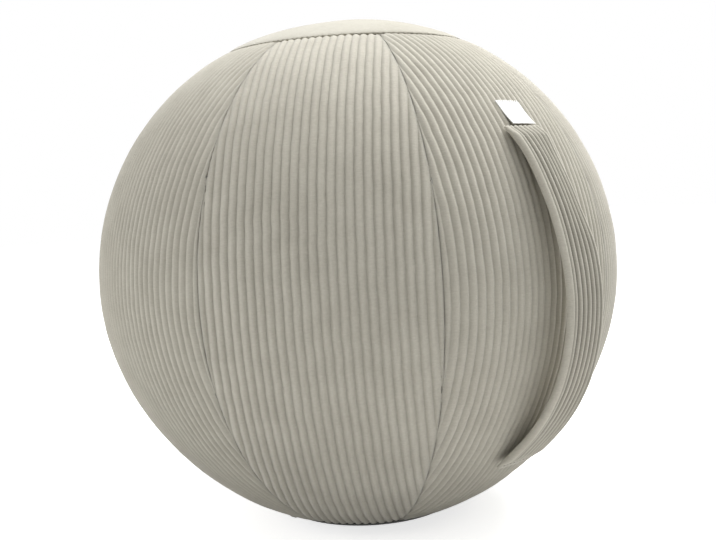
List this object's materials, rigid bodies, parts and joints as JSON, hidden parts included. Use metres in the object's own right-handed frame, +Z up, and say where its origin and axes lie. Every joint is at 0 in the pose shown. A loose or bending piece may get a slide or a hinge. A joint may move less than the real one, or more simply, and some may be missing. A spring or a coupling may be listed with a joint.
{
  "type": "balance ball chair",
  "caption": "Balance ball chair: an inflated ball in a ribbed velvet cover with a padded carry handle, a smooth top and a flat non-slip base.",
  "frame": {"origin": "centre of the flat face that rests on the floor", "axes": "+Z up; -Y out through the middle of the carry handle; the closed zip runs round the +Y half of the base"},
  "size_m": [0.6528, 0.6884, 0.6228],
  "materials": {
    "ribbed_velvet": "ribbed short-pile velvet, warm light greige",
    "smooth_velvet": "smooth short-pile velvet, pale greige",
    "woven_label": "plain white woven label",
    "base_cloth": "dark dotted non-slip cloth",
    "zip_tape": "woven zip tape",
    "zip_coil": "nylon zip coil",
    "zip_metal": "plain zip metal",
    "ring_cloth": "plain cloth over stuffing",
    "ball_skin": "soft grey ball skin",
    "plug_plastic": "white valve plug"
  },
  "bodies": {
    "cover": {"gore_panel_1": "ribbed_velvet", "gore_panel_2": "ribbed_velvet", "gore_panel_3": "ribbed_velvet", "gore_panel_4": "ribbed_velvet", "gore_panel_5": "ribbed_velvet", "gore_panel_6": "ribbed_velvet", "gore_panel_7": "ribbed_velvet", "gore_panel_8": "ribbed_velvet", "top_cap": "smooth_velvet", "carry_handle": "ribbed_velvet", "side_label": "woven_label", "base_disc": "base_cloth", "zip_tape_upper": "zip_tape", "zip_tape_lower": "zip_tape", "zip_coil_upper": "zip_coil", "zip_coil_lower": "zip_coil", "zip_stop_start": "zip_metal", "zip_stop_end": "zip_metal", "floor_ring": "ring_cloth", "inner_ball": "ball_skin", "valve_seat": "ball_skin", "valve_plug": "plug_plastic"},
    "zip_slider": {"zip_slider": "zip_metal"},
    "zip_pull": {"zip_pull": "zip_metal"}
  },
  "joints": [
    {"name": "zip_slider_travel", "type": "hinge", "parent": "cover", "child": "zip_slider", "pos_m": [0, 0, 0], "axis": [0, 0, 1], "range_deg": [0, 159.7]},
    {"name": "zip_pull_swing", "type": "hinge", "parent": "zip_slider", "child": "zip_pull", "pos_m": [0.11782, 0.021, 0.00651], "axis": [-0.9214, -0.1643, -0.3521], "range_deg": [0, 175]}
  ]
}
